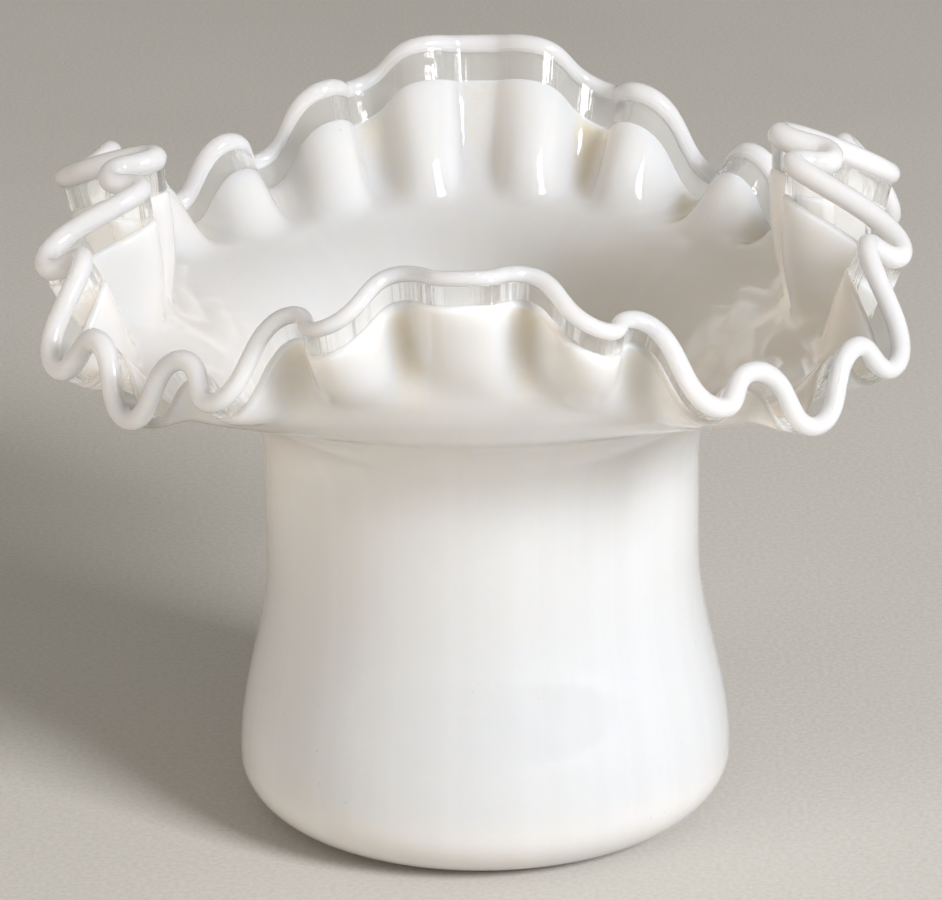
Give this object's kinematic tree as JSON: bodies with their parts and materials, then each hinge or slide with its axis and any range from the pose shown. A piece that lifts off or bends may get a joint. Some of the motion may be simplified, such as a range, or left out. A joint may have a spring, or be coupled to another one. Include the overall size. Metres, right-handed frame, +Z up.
{
  "type": "glass hat vase",
  "caption": "Opal glass hat that stands on its bell-shaped crown, with a wide ruffled brim edged in a clear glass band and an opal trail; it holds flowers or small things.",
  "frame": {"origin": "middle of the foot, on the surface that the hat stands on", "axes": "+Z up along the crown, -Y to the front of the hat, +X to its right side lobe as seen from the front"},
  "size_m": [0.1728, 0.1939, 0.1431],
  "materials": {
    "opal_glass": "opal white, fire polished, a little translucent",
    "clear_glass": "clear, fire polished",
    "trail_glass": "opal white, fire polished, translucent at its edges"
  },
  "bodies": {
    "root": {"opal_crown": "opal_glass", "opal_brim": "opal_glass", "clear_band": "clear_glass", "rim_trail": "trail_glass"}
  },
  "joints": []
}
